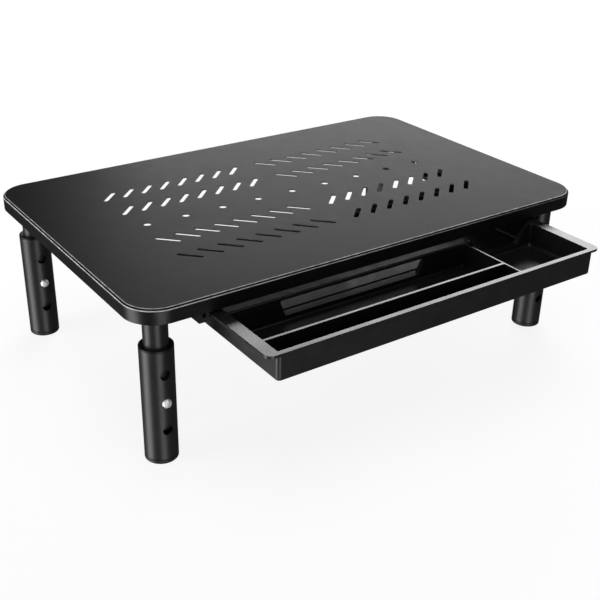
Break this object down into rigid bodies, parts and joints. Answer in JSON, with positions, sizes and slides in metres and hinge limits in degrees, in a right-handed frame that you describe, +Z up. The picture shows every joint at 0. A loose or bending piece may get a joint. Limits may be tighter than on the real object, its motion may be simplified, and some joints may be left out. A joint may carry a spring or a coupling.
{
  "type": "monitor riser stand",
  "caption": "Low metal monitor stand with a vented top, telescopic legs with snap buttons, and a shallow sliding drawer divided into compartments.",
  "frame": {"origin": "on the floor under the middle of the whole object, with the drawer standing out 61.2 mm as in the picture; the plate's middle is at y = +0.0306", "axes": "+X along the long side to the right seen from the drawer, +Z up, the drawer opens towards -Y"},
  "size_m": [0.37, 0.2962, 0.115],
  "materials": {
    "powder_coated_steel": "satin black powder coat, fine grain",
    "black_plastic": "moulded black",
    "foot_plastic": "soft moulded black",
    "tray_plastic": "moulded black, low sheen",
    "rail_plastic": "moulded black",
    "zinc_plated_steel": "bright zinc plating"
  },
  "bodies": {
    "frame": {"top_plate": "powder_coated_steel", "leg_tube_front_left": "powder_coated_steel", "tube_guide_front_left": "black_plastic", "weld_nut_front_left": "zinc_plated_steel", "leg_plug_front_left": "zinc_plated_steel", "spring_clip_front_left": "zinc_plated_steel", "leg_tube_front_right": "powder_coated_steel", "tube_guide_front_right": "black_plastic", "weld_nut_front_right": "zinc_plated_steel", "leg_plug_front_right": "zinc_plated_steel", "spring_clip_front_right": "zinc_plated_steel", "leg_tube_back_left": "powder_coated_steel", "tube_guide_back_left": "black_plastic", "weld_nut_back_left": "zinc_plated_steel", "leg_plug_back_left": "zinc_plated_steel", "spring_clip_back_left": "zinc_plated_steel", "leg_tube_back_right": "powder_coated_steel", "tube_guide_back_right": "black_plastic", "weld_nut_back_right": "zinc_plated_steel", "leg_plug_back_right": "zinc_plated_steel", "spring_clip_back_right": "zinc_plated_steel", "rail_left": "rail_plastic", "rail_right": "rail_plastic", "rail_stud_left_front": "zinc_plated_steel", "rail_nut_left_front": "zinc_plated_steel", "rail_stud_left_rear": "zinc_plated_steel", "rail_nut_left_rear": "zinc_plated_steel", "rail_stud_right_front": "zinc_plated_steel", "rail_nut_right_front": "zinc_plated_steel", "rail_stud_right_rear": "zinc_plated_steel", "rail_nut_right_rear": "zinc_plated_steel"},
    "drawer": {"drawer_tray": "tray_plastic"},
    "leg_front_left": {"leg_sleeve_front_left": "powder_coated_steel", "leg_bush_front_left": "black_plastic", "foot_cap_front_left": "foot_plastic"},
    "button_front_left": {"snap_button_front_left": "zinc_plated_steel"},
    "leg_front_right": {"leg_sleeve_front_right": "powder_coated_steel", "leg_bush_front_right": "black_plastic", "foot_cap_front_right": "foot_plastic"},
    "button_front_right": {"snap_button_front_right": "zinc_plated_steel"},
    "leg_back_left": {"leg_sleeve_back_left": "powder_coated_steel", "leg_bush_back_left": "black_plastic", "foot_cap_back_left": "foot_plastic"},
    "button_back_left": {"snap_button_back_left": "zinc_plated_steel"},
    "leg_back_right": {"leg_sleeve_back_right": "powder_coated_steel", "leg_bush_back_right": "black_plastic", "foot_cap_back_right": "foot_plastic"},
    "button_back_right": {"snap_button_back_right": "zinc_plated_steel"}
  },
  "joints": [
    {"name": "drawer_slide", "type": "slide", "parent": "frame", "child": "drawer", "axis": [0, -1, 0], "range_m": [-0.0612, 0.03]},
    {"name": "height_front_left", "type": "slide", "parent": "frame", "child": "leg_front_left", "axis": [0, 0, 1], "range_m": [-0.02, 0.02], "deforming": ["snap_button_front_left"]},
    {"name": "press_front_left", "type": "slide", "parent": "frame", "child": "button_front_left", "axis": [0, 1, 0], "range_m": [0, 0.0037], "stiffness_N_per_m": 600, "deforming": ["spring_clip_front_left"]},
    {"name": "height_front_right", "type": "slide", "parent": "frame", "child": "leg_front_right", "axis": [0, 0, 1], "range_m": [-0.02, 0.02], "deforming": ["snap_button_front_right"]},
    {"name": "press_front_right", "type": "slide", "parent": "frame", "child": "button_front_right", "axis": [0, 1, 0], "range_m": [0, 0.0037], "stiffness_N_per_m": 600, "deforming": ["spring_clip_front_right"]},
    {"name": "height_back_left", "type": "slide", "parent": "frame", "child": "leg_back_left", "axis": [0, 0, 1], "range_m": [-0.02, 0.02], "deforming": ["snap_button_back_left"]},
    {"name": "press_back_left", "type": "slide", "parent": "frame", "child": "button_back_left", "axis": [0, 1, 0], "range_m": [0, 0.0037], "stiffness_N_per_m": 600, "deforming": ["spring_clip_back_left"]},
    {"name": "height_back_right", "type": "slide", "parent": "frame", "child": "leg_back_right", "axis": [0, 0, 1], "range_m": [-0.02, 0.02], "deforming": ["snap_button_back_right"]},
    {"name": "press_back_right", "type": "slide", "parent": "frame", "child": "button_back_right", "axis": [0, 1, 0], "range_m": [0, 0.0037], "stiffness_N_per_m": 600, "deforming": ["spring_clip_back_right"]}
  ]
}
